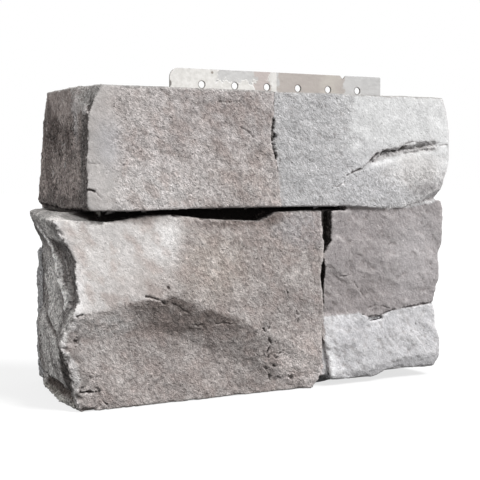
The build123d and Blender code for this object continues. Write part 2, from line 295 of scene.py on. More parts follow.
# the same on the short side, where a line runs back and up
SIDE_CRACKS = [
    (0.9, 1.2, [(66, 112), (63, 104), (61, 97), (52, 90), (46, 83), (38, 76)]),
    (0.8, 1.0, [(84, 116), (78, 108), (74, 98)]),
    (1.2, 1.8, [(98, 20), (97, 13), (92, 8), (84, 5)]),
    (0.7, 0.8, [(84, 178), (78, 171), (70, 170), (62, 173)]),
    (0.6, 0.7, [(44, 168), (41, 158), (43, 150)]),
    (0.6, 0.7, [(26, 196), (25, 188), (28, 181)]),
    (0.6, 0.6, [(56, 190), (54, 182)]),
    (0.6, 0.6, [(70, 156), (67, 146), (69, 138)]),
]


def every_crack(places):
    """Each crack's half width, its depth, each point's distance from it, and which points face its way."""
    for cracks, on_side, facing in ((CRACKS, False, places.faces_front),
                                    (SIDE_CRACKS, True, places.faces_side)):
        for half_width, deepest, path in cracks:
            yield half_width, deepest, from_path(places, path, on_side), facing > 0


def crack_depth(places):
    """How deep each point lies in a crack, in millimetres."""
    depth = np.zeros(len(places.along))
    for half_width, deepest, away, facing in every_crack(places):
        depth = np.maximum(depth, deepest * fade(away / (half_width * places.opening), 0.1, 1.3) * facing)
    return depth * ~places.in_joint


def crack_reach(places):
    """Which points lie near a crack."""
    near = np.zeros(len(places.along), bool)
    for half_width, _, away, facing in every_crack(places):
        near |= (away < half_width + CRACK_MESH_REACH) & facing
    return near & ~places.in_joint


def refined_at_cracks(mesh):
    """The skin with its quads cut in four where a crack runs."""
    near = crack_reach(Places(read(mesh.vertices, "co", 3), read(mesh.vertex_normals, "vector", 3)))
    shape = bmesh.new()
    shape.from_mesh(mesh)
    edges = [e for e in shape.edges if near[e.verts[0].index] and near[e.verts[1].index]]
    bmesh.ops.subdivide_edges(shape, edges=edges, cuts=1, use_grid_fill=True)
    bmesh.ops.triangulate(shape, faces=[f for f in shape.faces if len(f.verts) > 4])
    shape.to_mesh(mesh)
    shape.free()
    return mesh


def softened(mesh, rounds):
    """Where the mesh's points go when each is drawn towards its neighbours, over and over."""
    shape = bmesh.new()
    shape.from_mesh(mesh)
    for _ in range(rounds):
        bmesh.ops.smooth_vert(shape, verts=shape.verts, factor=0.5,
                              use_axis_x=True, use_axis_y=True, use_axis_z=True)
    places = np.array([v.co for v in shape.verts], float)
    shape.free()
    return places


def moved(mesh, points):
    """The mesh with its points moved, none of them past the solid casting's box."""
    inside = np.clip(points, np.array(casting_low), np.array(casting_high))
    mesh.vertices.foreach_set("co", inside.astype(np.float32).ravel())
    return mesh


def ledges(height, rise):
    """A height broken into small steps, as on a stone that parts in thin leaves."""
    level = height / rise
    tread = np.floor(level)
    return rise * (tread + step(level - tread, 0.5, 0.95))


def oval(centre, reach, turn=0.0, soft=0.45, uneven=0.35, on_side=False):
    """1 inside an uneven oval on the front or the short side, 0 outside it, in millimetres."""
    across = (at.back if on_side else at.along) - centre[0]
    rise = at.up - centre[1]
    c, s = np.cos(np.radians(turn)), np.sin(np.radians(turn))
    far = np.hypot((across * c + rise * s) / reach[0], (rise * c - across * s) / reach[1])
    return fade(far + uneven * at.blotch, 1 - soft, 1 + soft)


def pocket_share():
    """1 in the dark pocket at the foot of the large stone's short side."""
    return oval(POCKET, POCKET_REACH, turn=-4, soft=0.4, uneven=0.5, on_side=True)


def air_bubbles(points, low, high):
    """How deep each point lies in one of the round holes that air leaves in concrete, in millimetres."""
    depth = np.zeros(len(points))
    for _ in range(BUBBLES):
        centre = [chance.uniform(a, b) for a, b in zip(low, high)]
        # most holes are small, and each is moved onto the nearest bit of the skin
        radius = 0.9 + 1.9 * chance.random() ** 3
        mouth = points[np.argmin(np.linalg.norm(points - centre, axis=1))]
        away = np.linalg.norm(points - mouth, axis=1) / MM
        depth = np.maximum(depth, 0.8 * radius * fade(away, 0.3 * radius, radius + 0.3))
    return depth


skin = refined_at_cracks(remeshed_casting())
points = read(skin.vertices, "co", 3)
outward = read(skin.vertex_normals, "vector", 3)
at = Places(points, outward)
corner_wear = points - softened(skin, 7)
deep_wear = points - softened(skin, 40)

swell = grained(points, 55, octaves=2)
struck = grained(points, 24, octaves=5, way=GRAIN_WAY, stretch=1.7, roughness=0.75)
hackle = grained(points, 6, octaves=4, way=GRAIN_WAY, stretch=2.2, roughness=0.6, shift=5.2)
grit = grained(points, 2.4, octaves=3, way=GRAIN_WAY, stretch=1.6, roughness=0.4, shift=31.7)
riven = riven_grain(points, at)
ragged = grained(points, 8, octaves=3, shift=17.1)
broken = grained(points, 4.5, octaves=4, shift=3.3)
strike_off = grained(points, 5, octaves=3, way=(1, 0, 0), stretch=9.0, roughness=0.6, shift=91.7)

# the relief's heights are in millimetres
small_stone = at.middle_right | at.lower_right
front_relief = 0.7 * swell + ledges(0.65 * struck, 0.4) * at.coarse
front_relief += (0.17 * hackle + 0.26 * grit) * at.coarse
front_relief += small_stone * ledges(0.8 * struck, 0.45)
side_relief = 0.7 * swell + ledges(1.4 * riven, 0.5) + 0.35 * hackle + 0.4 * grit
plain_relief = 0.08 * grit + 0.12 * swell - air_bubbles(points, casting_low, casting_high)
plain_relief -= 0.35 * np.abs(strike_off)
on_front = at.faces_front * ~at.in_joint
on_side = at.faces_side * ~at.in_joint
relief = front_relief * on_front + side_relief * on_side + plain_relief * (1 - np.maximum(on_front, on_side))
relief -= at.faces_level * (0.3 * np.abs(struck) + 0.15 * np.abs(hackle))
relief -= crack_depth(at)
large_side = on_side * at.lower_left
relief += large_side * RIB_HEIGHT * fade(from_path(at, RIB_LINE, on_side=True), 0, 4)
relief -= large_side * (SCOOP_DEPTH * at.scoop + POCKET_DEPTH * pocket_share())
relief -= large_side * CREASE_DEPTH * fade(from_path(at, CREASE_LINE, on_side=True), 0, 2.5)
relief -= UPPER_SLOT_DEPTH * on_front * fade(from_path(at, UPPER_SLOT), 1.0, 1.7)
relief += RUBBLE_HEIGHT * on_front * at.rubble * ledges(broken, 0.5)

# the stones' edges are worn and chipped, the plain back's hardly and the far end's and top's half as much
chipped = step(ragged, 0.28, 0.5)
wear = np.clip(0.3 + 0.7 * ragged, 0, 1) + 1.2 * chipped
at_back = (at.back > PANEL_THICKNESS - 5) & (at.along > PANEL_THICKNESS - 5)
wear = np.where(at_back, 0.25, wear)
at_end = (at.along > 255) | ((at.up > 196) & (at.along > 60))
wear = np.where(at_end, 0.5 * wear, wear)
# the outer corner of the large stone is knocked off in flakes
along_arris = at.lower_left & (at.back < JOINT_FLOOR) & (at.along < JOINT_FLOOR)
flaked = 1.1 * step(ragged, 0.02, 0.12) * along_arris
shaped = points - corner_wear * wear[:, None] - deep_wear * flaked[:, None] + outward * relief[:, None] * MM

# the rear of the joint round the short side is nearly full, and the upper stone's foot hangs lower there
side_floor = (np.abs(at.along - JOINT_FLOOR) < FLOOR_REACH) & (at.back > JOINT_FLOOR)
side_floor &= np.abs(at.up - 128) < 9
shaped[:, 0] -= REAR_JOINT_FILL * MM * side_floor * step(at.back, 40, 75)
hanging = at.upper_left * (at.along < JOINT_FLOOR - 1) * fade(at.up, 131, 138) * step(at.back, 5, 40)
shaped[:, 2] -= FOOT_HANG * MM * hanging
# the joints beside the small lower stone and above it are nearly full too
front_floor = np.abs(at.back - JOINT_FLOOR) < FLOOR_REACH
beside_small = front_floor & (np.abs(at.along - LOWER_HEAD_JOINT - 3) < 12)
shaped[:, 1] -= LOW_JOINT_FILL * MM * beside_small * fade(at.up, 40, 46) * step(at.up, 5, 8)
above_small = front_floor & (np.abs(at.along - 212) < 16) & (np.abs(at.up - 48) < 6)
shaped[:, 1] -= SMALL_BED_FILL * MM * above_small
skin = moved(skin, shaped)
skin.update()

casting = as_object("split_stone_casting", skin)
trim = casting.modifiers.new("fewer_faces", "DECIMATE")
skin.calc_loop_triangles()
trim.ratio = min(1.0, MOST_TRIANGLES / len(skin.loop_triangles))
skin = evaluated_mesh(casting)
casting = as_object("split_stone_casting", skin)
skin = moved(skin, read(skin.vertices, "co", 3))
skin.polygons.foreach_set("use_smooth", [True] * len(skin.polygons))

# the pigments, as they lie on each stone
points = read(skin.vertices, "co", 3)
outward = read(skin.vertex_normals, "vector", 3)
at = Places(points, outward)
streak = grained(points, 6, octaves=3, way=(1, 0, -0.15), stretch=3.5, shift=23.9)
riven = riven_grain(points, at)
mottle = grained(points, 9, octaves=3, way=GRAIN_WAY, stretch=1.8, roughness=0.6, shift=41.9)
hollow = np.einsum("ij,ij->i", softened(skin, 5) - points, outward) / MM

# colours as a screen shows them
PLAIN_CONCRETE = (186, 183, 178)
# the joints' dark colour, which is also painted as shade and shadow on the stones
JOINT_DARK_AND_SHADE = (34, 30, 29)
JOINT_GREY = (166, 166, 168)
# painted shade for the cracks
CRACK_SHADE = (62, 57, 56)
TAN_GREY = (162, 153, 149)
PINK_BROWN = (158, 143, 138)
BROWN_GREY = (118, 109, 105)
LIGHT_GREY = (205, 201, 199)
CHALK = (212, 212, 212)
UPPER_LEFT_GROUND = (178, 171, 169)
UPPER_SIDE_GROUND = (146, 136, 132)
UPPER_RIGHT_GROUND = (184, 183, 184)
LARGE_STONE_GROUND = (156, 148, 145)
LARGE_SIDE_GROUND = (176, 173, 171)
MIDDLE_RIGHT_GROUND = (158, 152, 152)
LOWER_RIGHT_GROUND = (196, 195, 197)
# the rib's pale colour with a painted highlight
RIB_PALE_WITH_HIGHLIGHT = (250, 248, 246)
tone = np.tile(np.array(PLAIN_CONCRETE, float), (len(points), 1))


def paint(share, colour):
    """Lays a colour over the share of each point that it covers."""
    tone[:] = tone + np.clip(share, 0, 1)[:, None] * (np.array(colour, float) - tone)


def patch(strength, area, centre, reach, colour, **shape):
    """An uneven oval of colour on an area: its centre along (or back) and up, and how far it reaches."""
    paint(strength * area * oval(centre, reach, **shape), colour)


open_side = (at.back < PANEL_THICKNESS - 1) | (at.along < PANEL_THICKNESS - 1)
stone_skin = open_side & ~at.in_joint
in_channel = at.in_joint & (np.maximum(at.faces_front, at.faces_side) > 0.3) & (at.back < JOINT_FLOOR + 4)
paint(in_channel, JOINT_DARK_AND_SHADE)
paint(in_channel * fade(at.up, 20, 48), JOINT_GREY)

# the upper left stone: browner in the middle of its front, smooth and pale beside the corner
upper_left = at.upper_left & stone_skin
front = upper_left * at.faces_front
paint(upper_left, UPPER_LEFT_GROUND)
patch(0.6, front, (112, 182), (42, 26), (150, 142, 140), soft=0.6)
patch(0.5, front, (106, 145), (36, 22), TAN_GREY, soft=0.6)
patch(0.6, front, (35, 135), (40, 16), LIGHT_GREY, soft=0.6)
paint(0.35 * front * step(mottle, 0.12, 0.4), PINK_BROWN)
paint(0.3 * front * step(-mottle, 0.12, 0.4), (204, 200, 200))
paint(0.85 * front * at.smooth_edge, (175, 171, 169))
patch(0.35, front, (14, 168), (7, 14), (170, 171, 177), soft=0.8)
patch(0.5, front, (26, 190), (22, 12), (194, 187, 184), soft=0.8)
# its short side: dark streaks along the split, a dark edge next to the front, painted shade on its foot and
# underside, and painted light on the flat at the top of its outer corner
side = upper_left * at.faces_side
paint(side, UPPER_SIDE_GROUND)
patch(0.85, side, (60, 174), (38, 9), (76, 68, 65), soft=0.6, uneven=1.3, on_side=True)
patch(0.7, side, (86, 188), (10, 13), (84, 77, 75), soft=0.6, uneven=1.2, on_side=True)
paint(0.6 * side * step(riven, 0.1, 0.4), (92, 83, 80))
paint(0.3 * side * step(-riven, 0.15, 0.5), (176, 168, 165))
patch(0.7, side, (23, 186), (5, 17), (208, 204, 204), soft=0.7, uneven=0.5, on_side=True)
paint(0.85 * side * fade(at.back + 5 * at.blotch, 9, 18), (90, 86, 84))
# painted shade on the foot and the underside, which face down
paint(0.6 * side * fade(at.up + 2 * at.blotch, 131, 137), (92, 86, 84))
paint(at.upper_left * (at.along < JOINT_FLOOR - 1) * at.faces_level * (at.up < 140), (60, 55, 54))
# painted light on the flat at the top of the outer corner, where the light only grazes it
top_facet = at.upper_left & stone_skin & (at.along < np.interp(at.up, *TOP_FACET_LINE))
paint(0.9 * top_facet * step(at.up + at.blotch, 181, 187) * fade(at.back, 12, 26), (168, 164, 162))

# the upper right stone: chalky towards its far end, with painted shade in its cleft and at the lower corner
# of its far end
upper_right = at.upper_right & stone_skin
paint(upper_right, UPPER_RIGHT_GROUND)
paint(at.chalky_end * stone_skin, CHALK)
patch(0.7, upper_right, (200, 143), (32, 20), (192, 191, 193), soft=0.6)
patch(0.6, upper_right, (246, 150), (26, 12), LIGHT_GREY, soft=0.5)
# painted shade at the lower corner of its far end
patch(0.45, upper_right, (258, 136), (16, 5), (126, 121, 121), soft=0.7)
# painted shade in the broken ground of the cleft
paint(0.45 * upper_right * at.rubble, (118, 113, 112))
paint(fade(from_path(at, UPPER_SLOT), 1.3, 1.8) * open_side, JOINT_DARK_AND_SHADE)

# the large stone: a light facet above the ridge on the left of its front, and tan ground on the right
lower_left = at.lower_left & stone_skin
front = lower_left * at.faces_front
paint(lower_left, LARGE_STONE_GROUND)
paint(front * at.light_facet, (196, 192, 190))
paint(0.3 * front * at.light_facet * step(mottle + 0.5 * at.blotch, 0.0, 0.35), (166, 155, 149))
patch(0.8, front, (52, 105), (8, 17), (224, 222, 221), turn=-8, soft=0.8)
patch(0.5, front, (84, 88), (22, 22), (174, 163, 154), soft=0.7)
patch(0.5, front, (118, 106), (24, 13), (136, 127, 123), turn=-20, soft=0.7)
patch(0.5, front, (140, 66), (24, 44), (154, 147, 144), soft=0.7)
patch(0.6, front, (152, 112), (22, 12), (160, 157, 159), soft=0.6)
# the dark ground under the ridge, darker pigment with painted shade, darkest next to it
under_ridge = fade(at.above_ridge, -1.2, 0.5) * (at.along < 118)
above_fade = at.up - np.interp(at.along, *SHADE_FOOT) + 3 * at.blotch
paint(0.75 * front * under_ridge * step(above_fade, -4, 5) * step(at.along, 16, 48), (122, 113, 109))
paint(0.2 * front * under_ridge * step(above_fade, -20, -4) * step(at.along, 30, 60), (112, 103, 99))
next_to_ridge = step(at.above_ridge, -9, -2) * step(at.along, 32, 46) * fade(at.along, 96, 110)
paint(0.4 * front * under_ridge * next_to_ridge, (80, 72, 69))
# the pale pink facet at the lower right, and the ground round it, with painted light on the parts that face
# down and painted shade on one that faces up
patch(0.8, front, (150, 55), (24, 12), (140, 133, 131), soft=0.7)
patch(0.8, front, (146, 35), (24, 13), (184, 175, 172), soft=0.8)
# painted light on the facet below the crease, which faces down
below_crease = fade(at.up + 0.5 * np.maximum(at.along - 145, 0) + 1.5 * at.blotch, 25, 33)
paint(front * step(at.along, 130, 141) * below_crease, (206, 196, 193))
paint(0.5 * front * step(at.along, 148, 160) * fade(at.up, 8, 18), (228, 221, 219))
patch(0.5, front, (133, 8), (12, 6), (132, 126, 124), soft=0.8)
# painted shade on the part above the crease, which faces up
patch(0.75, front, (136, 42), (10, 6), (146, 138, 135), soft=0.7)
# painted light on the down-facing facet near the foot
patch(0.55, front, (147, 20), (12, 9), (236, 226, 222), soft=0.7)
patch(0.5, front, (140, 3), (10, 4), (146, 138, 135), soft=0.7)
# the lower left, and the foot of the light facet, with painted light on the parts of both that face down
patch(0.45, front, (18, 25), (7, 10), (156, 149, 146), soft=0.8)
# painted light on the foot of the light facet, which faces down
patch(0.85, front, (14, 55), (18, 7), (214, 210, 208), soft=0.7)
patch(0.35, front, (8, 46), (14, 16), (188, 184, 182), soft=0.6)
# painted light on the lower facets, which face down
paint(0.3 * front * fade(at.up, 24, 36) * fade(at.along, 100, 120), (180, 172, 169))
for strength, centre, reach, colour in ((0.5, (40, 82), (20, 10), (160, 152, 148)),
                                        (0.4, (47, 76), (10, 6), (148, 139, 135)),
                                        (0.35, (27, 75), (14, 7), (168, 161, 158))):
    paint(strength * front * oval(centre, reach, soft=0.7) * step(at.above_ridge, 0, 2), colour)
paint(0.3 * front * step(mottle, 0.15, 0.45), PINK_BROWN)
paint(0.25 * front * step(-mottle, 0.15, 0.45), (206, 202, 200))
# the shade under the joint above
under_joint = step(at.up + 3 * at.blotch, 112, 118) * step(at.along, 62, 90) * fade(at.along, 130, 144)
paint(0.75 * front * under_joint, (88, 78, 74))
top_edge = lower_left * (at.back < 12) * step(at.up + 2 * at.blotch, 116, 119)
paint(0.6 * top_edge * step(at.along, 6, 12) * fade(at.along, 30, 62), (104, 95, 91))
# its outer corner: light broken edges, and a grey one near the foot
past_arris = at.along - np.interp(at.up, *ARRIS_LINE) + 1.5 * at.blotch
paint(0.6 * lower_left * step(past_arris, -2, 1) * fade(past_arris, 4, 10) * (at.up > 52), (214, 212, 212))
paint(0.6 * lower_left * step(past_arris, 3, 5) * fade(past_arris, 8, 11) * (at.up < 40), (142, 136, 133))
paint(0.85 * lower_left * step(past_arris, -2, 0) * fade(past_arris, 3, 5) * (at.up < 52), (216, 213, 212))
# its short side: pale, with dark streaks, painted shade in the scoop, pocket and crease and down the front
# edge, and the rib pale with a painted highlight
side = lower_left * at.faces_side
paint(side, LARGE_SIDE_GROUND)
patch(0.65, side, (62, 70), (36, 17), (216, 214, 212), soft=0.4, on_side=True)
paint(0.7 * side * step(riven, 0.05, 0.4), (106, 102, 100))
paint(0.5 * side * step(-riven, 0.1, 0.4), (226, 224, 221))
# painted shade in the scoop and on the facet beside the front edge
paint(0.85 * side * at.scoop, (98, 94, 93))
patch(0.7, side, (14, 66), (7, 13), (98, 94, 93), turn=-12, soft=0.6, uneven=0.8, on_side=True)
patch(0.7, side, (72, 106), (28, 6), (92, 88, 87), turn=14, soft=0.6, uneven=1.0, on_side=True)
# painted shade down the front edge and in the pocket
paint(0.9 * side * fade(from_path(at, EDGE_SHADE_LINE, on_side=True), 4, 8), (58, 54, 52))
paint(0.9 * side * pocket_share(), (66, 58, 54))
paint(0.6 * side * fade(at.up, 3, 4.5), (160, 158, 150))
# painted shade in the crease, and the rib, pale with a painted highlight
paint(0.9 * side * fade(from_path(at, CREASE_LINE, on_side=True), 0.8, 2.4), (70, 66, 64))
paint(0.9 * side * fade(from_path(at, RIB_LINE, on_side=True), 1.0, 2.4), RIB_PALE_WITH_HIGHLIGHT)
paint(0.85 * at.heel * stone_skin, (162, 162, 164))
# painted shade in the crevice between the heel and the stone
paint(0.8 * lower_left * step(at.back, 95, 96.5) * fade(at.back, 98.5, 99.5), (70, 66, 66))
# the ledge round its top: painted light where it is open, and painted shadow under the stone above
ledge = at.lower_left * (at.up > 108) * step(outward[:, 2], 0.2, 0.6)
paint(ledge * (at.along < JOINT_FLOOR + 3), (196, 193, 190))
paint(0.35 * ledge * step(riven, 0.0, 0.3), (120, 116, 114))
# painted shadow on the ledge behind the upper stone's foot
foot_shadow = step(at.back - np.interp(at.along, *FOOT_SHADOW_LINE) + at.blotch, -2.5, 1.5)
paint(0.95 * ledge * foot_shadow * fade(at.back, 52, 64), JOINT_DARK_AND_SHADE)

# the two small stones, and the joint beside them, with painted shade on the middle stone's end in the gap and
# painted light low in the gap
middle_right = at.middle_right & stone_skin
paint(middle_right, MIDDLE_RIGHT_GROUND)
patch(0.6, middle_right, (248, 88), (26, 34), (180, 176, 177), soft=0.7)
patch(0.4, middle_right, (200, 62), (26, 12), (144, 137, 136), soft=0.7)
lower_right = at.lower_right & stone_skin
paint(lower_right, LOWER_RIGHT_GROUND)
patch(0.9, lower_right, (175, 22), (5, 24), (232, 232, 233), soft=0.6)
patch(0.5, lower_right, (196, 38), (30, 10), (184, 183, 186), soft=0.7)
paint(0.4 * lower_right * step(mottle, 0.1, 0.4), (180, 178, 180))
facing_gap = np.maximum(at.faces_side, step(outward[:, 0], 0.3, 0.7)) * (at.along > LOWER_HEAD_JOINT - 3)
# painted shade on the middle stone's end, which faces into the gap
paint(0.85 * at.middle_right * facing_gap * (at.along < LOWER_HEAD_JOINT + 14), JOINT_DARK_AND_SHADE)
# painted light low in the gap beside the small lower stone, which lies in shadow
lit_low_gap = (np.abs(at.along - LOWER_HEAD_JOINT - 4) < 8) * fade(at.up, 42, 48) * step(at.up, 4, 9)
paint(0.9 * lit_low_gap * np.maximum(facing_gap * at.lower_right, in_channel), (222, 222, 227))

# painted shade on the rims of the top, which face up, and painted light on the foot of the upper right stone,
# which faces down
paint(0.9 * step(outward[:, 2], 0.12, 0.5) * (at.up > 190) * open_side, (122, 120, 118))
paint(0.8 * at.upper_right * step(-outward[:, 2], 0.05, 0.4) * step(at.along, 192, 208), (238, 236, 236))

# darker in hollows and lighter on proud edges, and painted shade in the cracks by their depth
paint(0.4 * step(hollow, 0.03, 0.35) * stone_skin * (0.4 + 0.6 * at.coarse), BROWN_GREY)
paint(0.3 * step(-hollow, 0.03, 0.35) * stone_skin * (0.4 + 0.6 * at.coarse), (222, 218, 215))
paint(np.clip(crack_depth(at) / 1.6, 0, 0.8), CRACK_SHADE)
tone = np.clip(tone * (1 + 0.05 * streak + 0.05 * at.blotch)[:, None], 0, 250)

linear = (tone / 255) ** 2.2
pigment = skin.attributes.new("pigment", "FLOAT_COLOR", "POINT")
pigment.data.foreach_set("color", np.c_[linear, np.ones(len(linear))].astype(np.float32).ravel())
coarseness = np.clip(at.coarse * (1 - at.faces_side) + 2.1 * at.faces_side, 0, 2.2)
coarseness[top_facet & (at.up > 183)] = 0.9
coarseness[~stone_skin] = 0.6
grain = skin.attributes.new("coarseness", "FLOAT", "POINT")
grain.data.foreach_set("value", coarseness.astype(np.float32))


def node(tree, kind, inputs=None, **settings):
    """A shader node with its settings; an input given as a socket is linked, and any other is set."""
    made = tree.nodes.new("ShaderNode" + kind)
    for name, value in settings.items():
        setattr(made, name, value)
    for name, value in (inputs or {}).items():
        if isinstance(value, bpy.types.NodeSocket):
            tree.links.new(value, made.inputs[name])
        else:
            made.inputs[name].default_value = value
    return made


def noise_at(tree, where, scale, **inputs):
    """Fractal noise about a middle of 0.5, its scale in grains a metre."""
    return node(tree, "TexNoise", {"Vector": where, "Scale": scale, **inputs}).outputs["Fac"]


def remapped(tree, value, low, high, to_low=0.0, to_high=1.0):
    """A value mapped from one range to another, and held at its ends."""
    inputs = {"Value": value, "From Min": low, "From Max": high, "To Min": to_low, "To Max": to_high}
    return node(tree, "MapRange", inputs).outputs["Result"]


def reckoned(tree, operation, first, second=0.0):
    """One sum of a Math node."""
    return node(tree, "Math", {0: first, 1: second}, operation=operation).outputs[0]


def times(tree, first, second):
    return reckoned(tree, "MULTIPLY", first, second)


def new_finish(name):
    """A new material, its node tree and its shader."""
    finish = bpy.data.materials.new(name)
    finish.use_nodes = True
    return finish, finish.node_tree, finish.node_tree.nodes["Principled BSDF"]


def flecks(tree, where, scale, size, chosen):
    """1 on scattered grains: every grain's size as a share of its cell, and the share of cells with one."""
    cells = node(tree, "TexVoronoi", {"Vector": where, "Scale": scale})
    picked = node(tree, "SeparateColor", {"Color": cells.outputs["Color"]}).outputs["Red"]
    inside = remapped(tree, cells.outputs["Distance"], size, size * 0.6)
    return times(tree, inside, remapped(tree, picked, 1 - chosen, 1 - chosen + 0.02))


# the strength of the pigment goes up and down with the grain, more where the stone is coarse
stone, tree, shader = new_finish("split_stone")
where = node(tree, "TexCoord").outputs["Object"]
pigment_here = node(tree, "Attribute", attribute_name="pigment").outputs["Color"]
way = tuple(Vector(GRAIN_WAY).normalized())
run = node(tree, "VectorMath", {0: where, 1: way}, operation="DOT_PRODUCT").outputs["Value"]
run = times(tree, run, 1 - 1 / STROKE_STRETCH)
run = node(tree, "VectorMath", {0: way, "Scale": run}, operation="SCALE").outputs[0]
drawn = node(tree, "VectorMath", {0: where, 1: run}, operation="SUBTRACT").outputs[0]
coarseness = node(tree, "Attribute", attribute_name="coarseness").outputs["Fac"]
fine = noise_at(tree, where, 1000.0, Detail=3.0, Roughness=0.65)
strokes = noise_at(tree, drawn, 620.0, Detail=3.0, Roughness=0.6, Distortion=0.5)
coarse = noise_at(tree, where, 200.0, Detail=3.0)
strength = remapped(tree, fine, 0.3, 0.7, 0.75, 1.25)
strength = times(tree, strength, remapped(tree, strokes, 0.3, 0.7, 0.64, 1.36))
strength = times(tree, strength, remapped(tree, coarse, 0.3, 0.7, 0.92, 1.08))
light_grain = flecks(tree, where, 700.0, 0.42, 0.14)
strength = times(tree, strength, remapped(tree, light_grain, 0.0, 1.0, 1.0, 1.4))
dark_pit = flecks(tree, where, 520.0, 0.36, 0.12)
strength = times(tree, strength, remapped(tree, dark_pit, 0.0, 1.0, 1.0, 0.6))
# short splits along the bedding of the stones
bedding = node(tree, "Mapping", {"Vector": where, "Rotation": (0.0, 0.38, 0.0), "Scale": (0.33, 0.33, 1.0)})
split = noise_at(tree, bedding.outputs[0], 560.0, Detail=3.0, Distortion=1.2)
split = remapped(tree, split, 0.64, 0.72)
patchy = noise_at(tree, where, 70.0, Detail=2.0)
split = times(tree, split, remapped(tree, patchy, 0.46, 0.6))
strength = times(tree, strength, remapped(tree, split, 0.0, 1.0, 1.0, 0.55))
strength = times(tree, reckoned(tree, "SUBTRACT", strength, 1.0), coarseness)
strength = reckoned(tree, "MAXIMUM", reckoned(tree, "ADD", strength, 1.0), 0.1)
colour = node(tree, "VectorMath", {0: pigment_here, "Scale": strength}, operation="SCALE").outputs[0]
tree.links.new(colour, shader.inputs["Base Color"])
shader.inputs["Roughness"].default_value = 0.92
shader.inputs["Specular IOR Level"].default_value = 0.25
micro = noise_at(tree, where, 2100.0, Detail=2.0)
height = reckoned(tree, "ADD", fine, times(tree, strokes, 1.3))
height = reckoned(tree, "ADD", height, times(tree, micro, 0.4))
height = reckoned(tree, "SUBTRACT", height, times(tree, dark_pit, 0.4))
height = reckoned(tree, "SUBTRACT", height, times(tree, split, 0.5))
bump = node(tree, "Bump", {"Strength": 0.8, "Distance": times(tree, coarseness, 0.0008), "Height": height})
tree.links.new(bump.outputs["Normal"], shader.inputs["Normal"])

skin.materials.clear()
skin.materials.append(stone)
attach(casting, "root")
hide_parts("stone_panel")

# The nailing flange
# A strip of galvanised sheet steel, punched with six nail holes and a notch, bent and cast into the back
# of the long leg. Its exposed edge is still smeared with dried cement.

# the stained part, the paler stain in it, the bare metal, and the smear, all on X
STAIN = (0.1115, 0.168)
PALE_STAIN = (0.150, 0.163)
BARE = (0.064, 0.094)
SMEAR = (0.093, 0.106)
# the height above which the metal is bare there
BARE_FROM = (0.2118, 0.2126)
# the nail holes, on X and Z
FIRST_HOLE = (0.0529, 0.2091)
HOLE_PITCH = 0.0254
HOLE_RADIUS = 0.0024
STAIN_BROWN = (180, 173, 168)
PALE_STAIN_BROWN = (197, 192, 184)
SMEAR_BROWN = (188, 178, 174)
# painted shade on the cut edges and round the holes
CUT_EDGE_SHADE = (96, 90, 86)
HOLE_RIM_SHADE = (84, 78, 74)


def mixed(tree, share, first, second):
    """The second colour laid over the first; each is a socket or three display values."""
    made = tree.nodes.new("ShaderNodeMix")
    made.data_type = "RGBA"
    for socket, value in ((made.inputs[0], share), (made.inputs[6], first), (made.inputs[7], second)):
        if isinstance(value, bpy.types.NodeSocket):
            tree.links.new(value, socket)
        else:
            socket.default_value = (*((np.array(value) / 255) ** 2.2), 1)
    return made.outputs[2]


def between(tree, value, low, high, soft):
    """1 between two values, with soft ends."""
    above_low = remapped(tree, value, low - soft, low + soft)
    below_high = remapped(tree, value, high + soft, high - soft)
    return times(tree, above_low, below_high)


zinc, tree, shader = new_finish("galvanised_sheet")
where = node(tree, "TexCoord").outputs["Object"]
cloud = noise_at(tree, where, 130.0, Detail=4.0, Roughness=0.6)
drips = noise_at(tree, where, 330.0, Detail=3.0)
spot = node(tree, "SeparateXYZ", {"Vector": where})
along = reckoned(tree, "ADD", spot.outputs["X"], remapped(tree, cloud, 0.3, 0.7, -0.004, 0.004))
rise = reckoned(tree, "ADD", spot.outputs["Z"], remapped(tree, drips, 0.35, 0.65, -0.0022, 0.0022))
steel = mixed(tree, remapped(tree, cloud, 0.3, 0.7), (190, 189, 188), (202, 201, 200))
colour = mixed(tree, between(tree, along, *STAIN, 0.0012), steel, STAIN_BROWN)
colour = mixed(tree, times(tree, between(tree, along, *PALE_STAIN, 0.003), 0.6), colour, PALE_STAIN_BROWN)
# the film of cement covers the left part but for the bare metal and the smear
film = remapped(tree, spot.outputs["X"], STAIN[0] + 0.0002, STAIN[0] - 0.0002)
bare = times(tree, between(tree, along, *BARE, 0.001), remapped(tree, rise, *BARE_FROM))
film = reckoned(tree, "SUBTRACT", film, bare)
smear = between(tree, along, *SMEAR, 0.0008)
film = reckoned(tree, "MAXIMUM", reckoned(tree, "SUBTRACT", film, smear), 0.0)
colour = mixed(tree, times(tree, smear, 0.9), colour, SMEAR_BROWN)
cement = mixed(tree, remapped(tree, drips, 0.35, 0.65), (212, 210, 206), (228, 226, 223))
cement = mixed(tree, flecks(tree, where, 230.0, 0.3, 0.07), cement, (150, 142, 136))
colour = mixed(tree, film, colour, cement)
# painted shade on the cut edges, which don't face front or back, and round the rims of the holes
facing = node(tree, "SeparateXYZ", {"Vector": node(tree, "NewGeometry").outputs["True Normal"]}).outputs["Y"]
colour = mixed(tree, remapped(tree, reckoned(tree, "ABSOLUTE", facing), 0.6, 0.4), colour, CUT_EDGE_SHADE)
from_first = reckoned(tree, "SUBTRACT", spot.outputs["X"], FIRST_HOLE[0])
half_pitch = HOLE_PITCH / 2
from_hole = node(tree, "Math", {0: from_first, 1: half_pitch, 2: -half_pitch}, operation="WRAP").outputs[0]
above_hole = reckoned(tree, "SUBTRACT", spot.outputs["Z"], FIRST_HOLE[1])
ring = node(tree, "CombineXYZ", {"X": from_hole, "Y": above_hole})
ring = node(tree, "VectorMath", {0: ring.outputs[0]}, operation="LENGTH").outputs["Value"]
ring = remapped(tree, ring, HOLE_RADIUS + 0.0007, HOLE_RADIUS + 0.0002)
